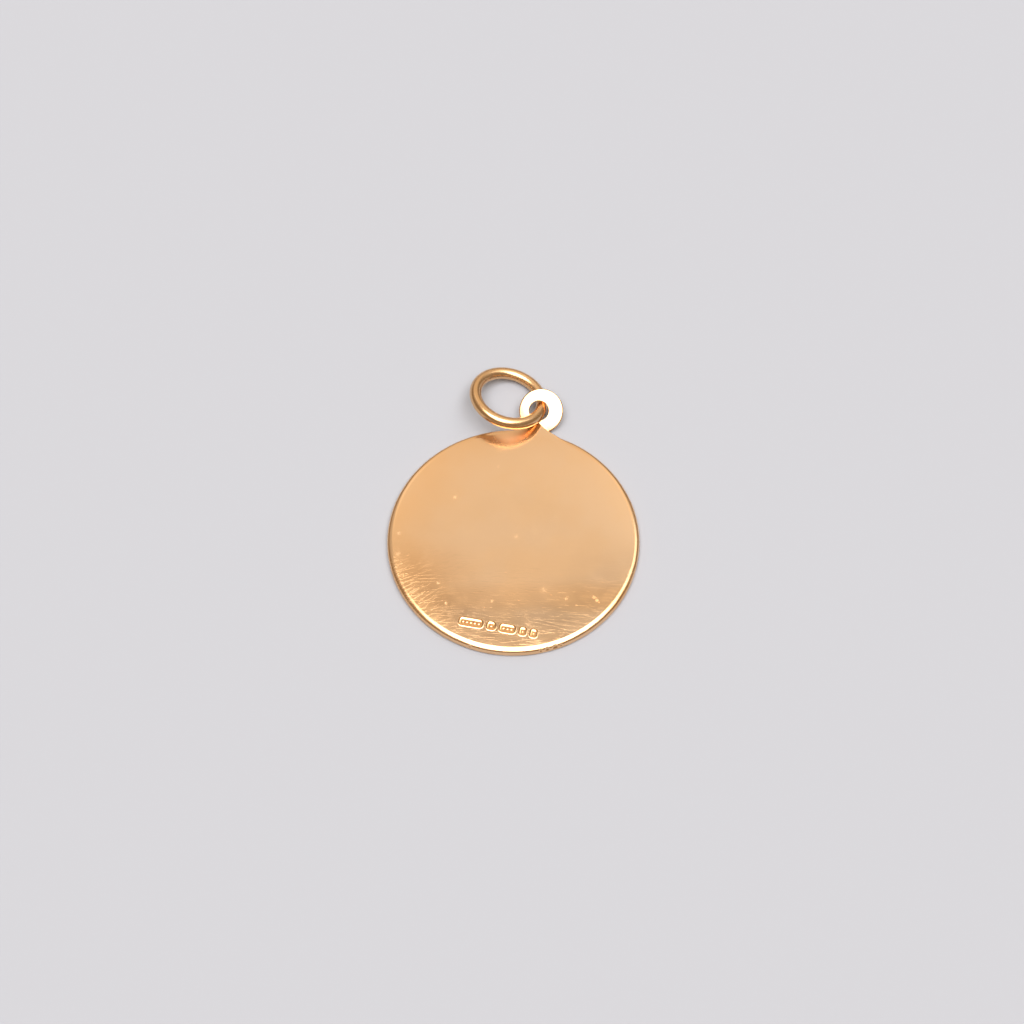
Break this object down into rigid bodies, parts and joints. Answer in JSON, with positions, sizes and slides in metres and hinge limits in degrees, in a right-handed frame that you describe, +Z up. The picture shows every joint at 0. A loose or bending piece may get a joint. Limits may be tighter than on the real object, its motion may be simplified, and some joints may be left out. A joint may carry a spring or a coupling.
{
  "type": "round zodiac pendant with jump ring",
  "caption": "Round flat gold pendant with a plain back, a zodiac wheel in low relief on its front, a bent-up soldered eye and a round jump ring.",
  "frame": {"origin": "the disc's centre, on the surface that the pendant lies on, which the front's relief touches", "axes": "+Z up, out of the plain back; +Y from the disc's centre towards its eye; +X to the right of that, seen from above"},
  "size_m": [0.02, 0.0252, 0.0028],
  "materials": {
    "disc_gold": "polished, with fine brushing and scratches",
    "ring_gold": "polished"
  },
  "bodies": {
    "root": {"disc": "disc_gold", "jump_ring": "ring_gold"}
  },
  "joints": []
}
